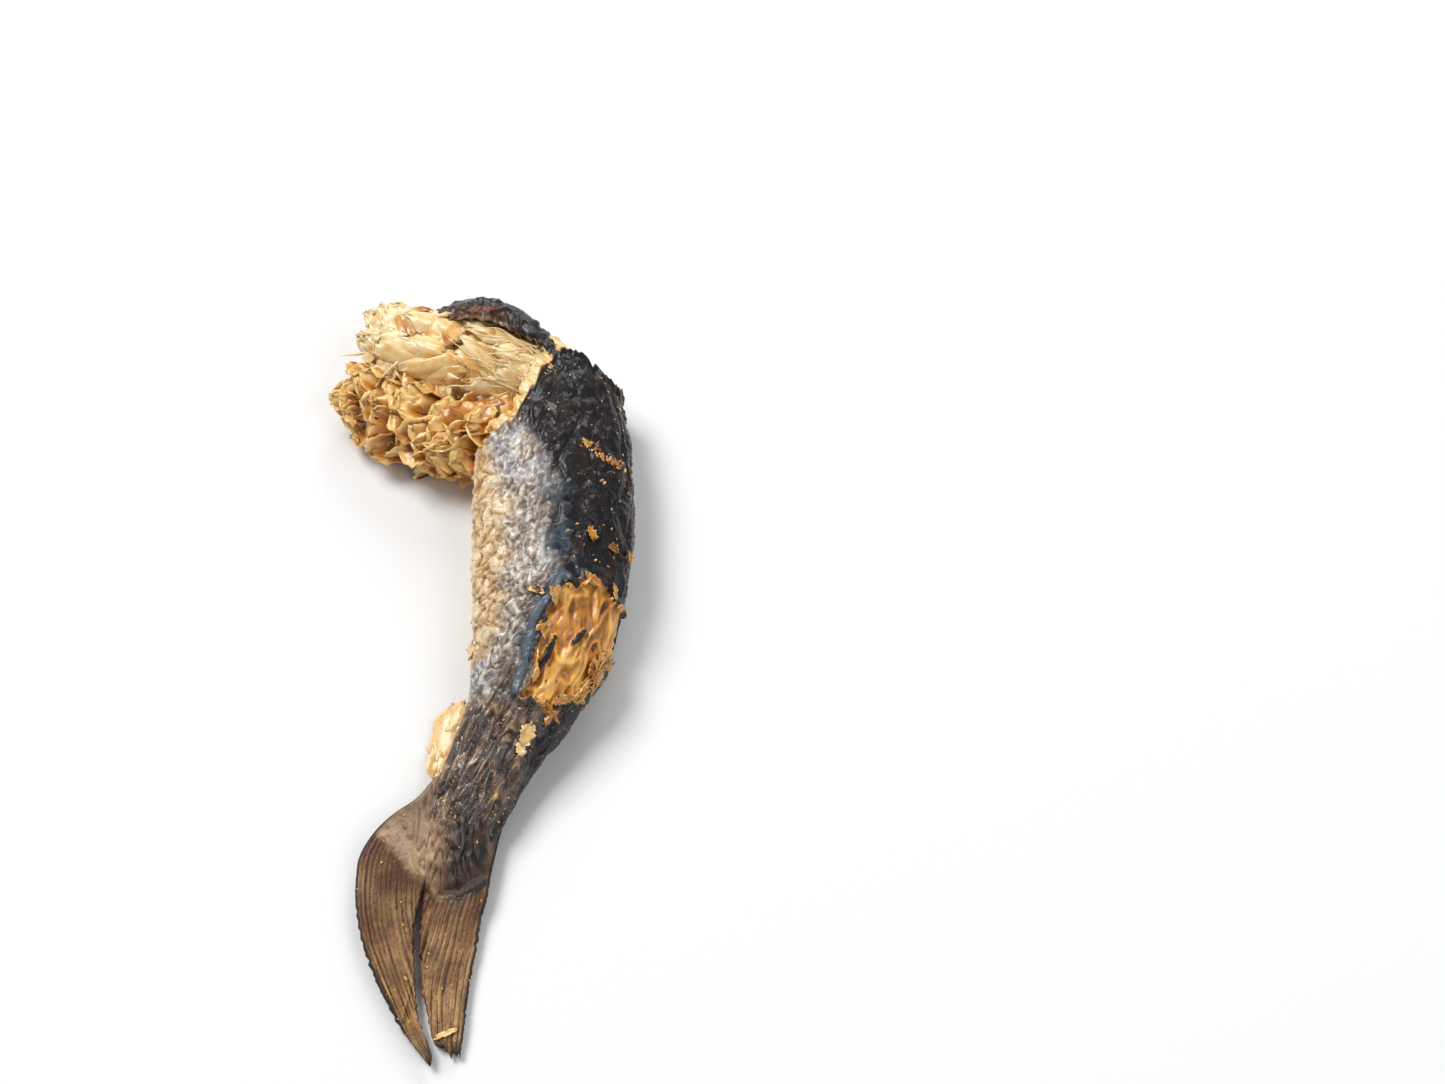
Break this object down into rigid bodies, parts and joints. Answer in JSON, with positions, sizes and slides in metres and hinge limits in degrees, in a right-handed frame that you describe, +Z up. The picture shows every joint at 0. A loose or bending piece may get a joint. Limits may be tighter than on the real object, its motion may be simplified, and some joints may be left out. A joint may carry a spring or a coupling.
{
  "type": "smoked fish",
  "caption": "Tail half of a hot-smoked fish lying on its side, with forked tail fin, leathery dark skin and flaky meat breaking out of the torn front end.",
  "frame": {"origin": "under the middle of the bounding box, on the surface that the fish lies on", "axes": "+Z up through the left flank, which faces up; +Y from the tail fin to the torn front end; +X towards the fish's back"},
  "size_m": [0.097, 0.237, 0.0304],
  "materials": {
    "smoked_skin": "leathery and wrinkled, half gloss; silver flank, charred back",
    "smoked_meat": "flaky and fibrous, moist, cream to amber"
  },
  "bodies": {
    "root": {"tail_half": "smoked_skin", "back_meat": "smoked_meat", "belly_meat": "smoked_meat", "skin_strip": "smoked_skin", "loose_flake": "smoked_meat"}
  },
  "joints": []
}
